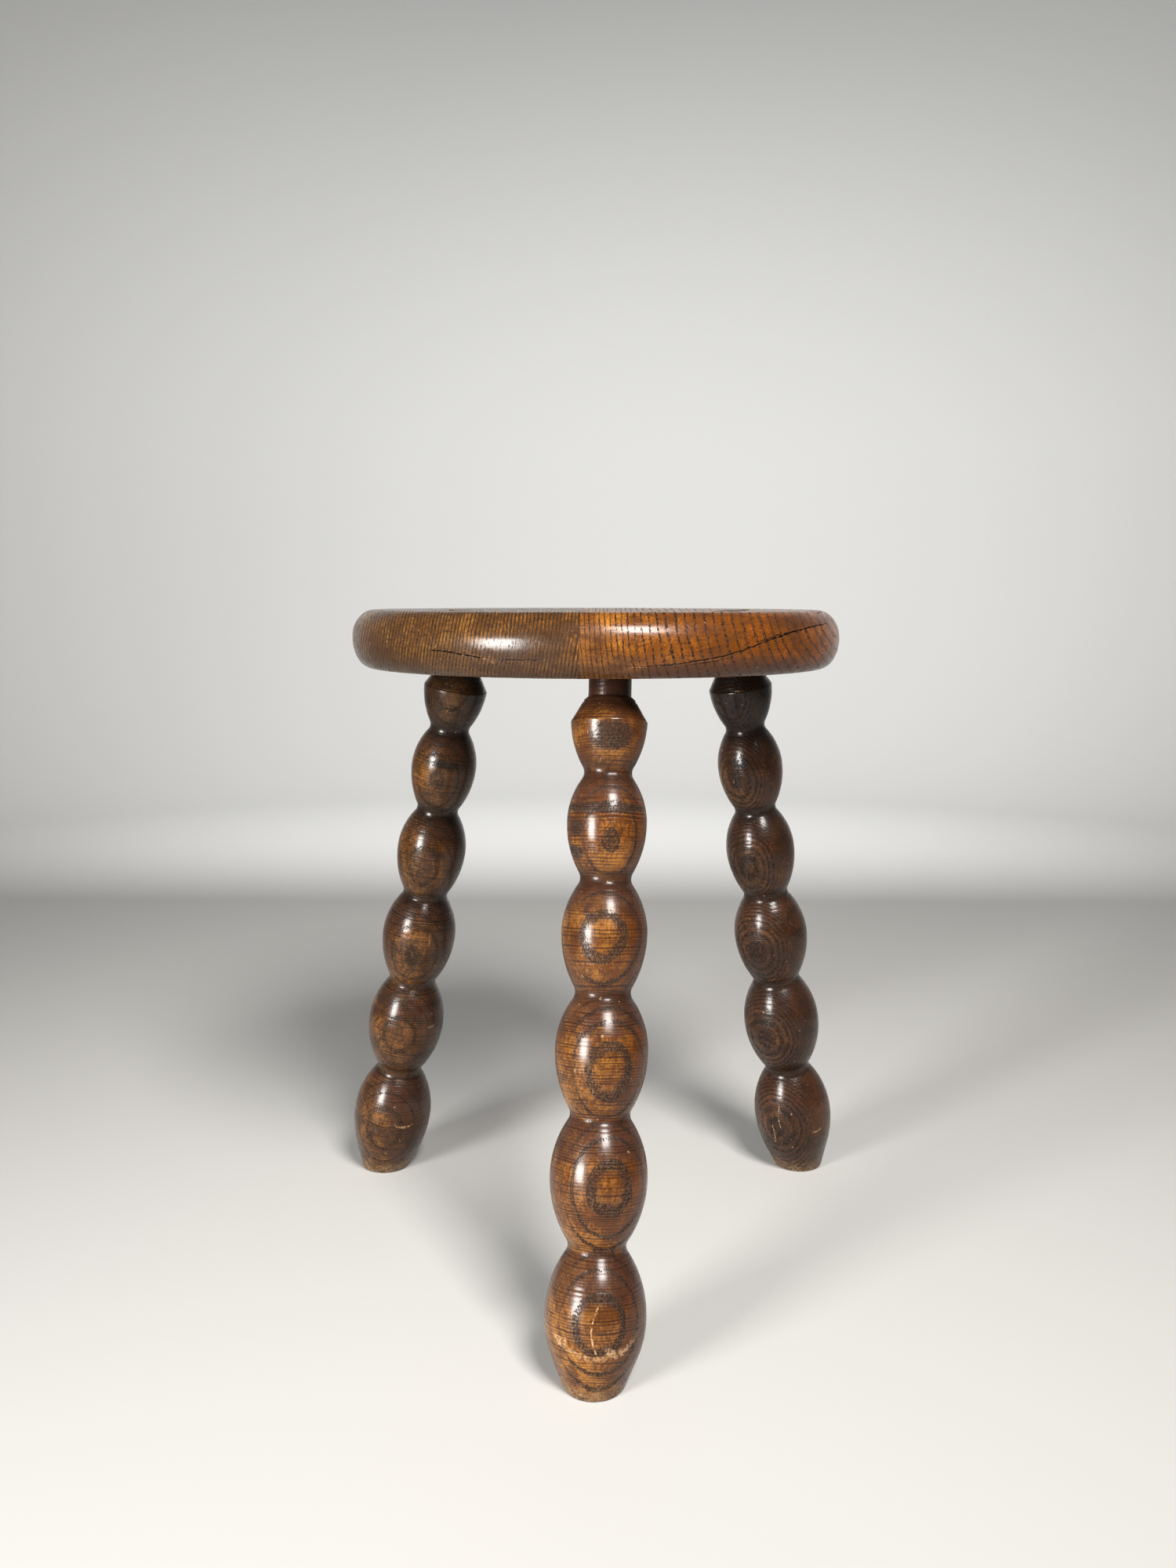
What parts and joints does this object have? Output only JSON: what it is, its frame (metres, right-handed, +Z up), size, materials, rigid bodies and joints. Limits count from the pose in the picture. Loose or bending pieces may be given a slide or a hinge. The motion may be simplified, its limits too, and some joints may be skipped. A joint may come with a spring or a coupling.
{
  "type": "staked stool",
  "caption": "Round hardwood stool: a thick, gently hollowed seat with a bullnose edge on splayed legs turned as graduated beads, their round tenons wedged through the seat.",
  "frame": {"origin": "on the floor under the middle of the round seat, at the middle of the circle on which the feet stand", "axes": "+Z up, from the floor to the seat; the front leg stands towards -Y; the seat's grain and the glue joint between its boards run along Y"},
  "size_m": [0.3719, 0.372, 0.434],
  "materials": {
    "seat_oak": "dark stained oak under old, polished shellac",
    "leg_oak": "red-brown stained oak under old, polished shellac",
    "wedge_oak": "dark stained oak, end grain"
  },
  "bodies": {
    "root": {"seat_board_left": "seat_oak", "seat_board_right": "seat_oak", "leg_front": "leg_oak", "leg_left": "leg_oak", "leg_right": "leg_oak", "wedge_front": "wedge_oak", "wedge_left": "wedge_oak", "wedge_right": "wedge_oak"}
  },
  "joints": []
}
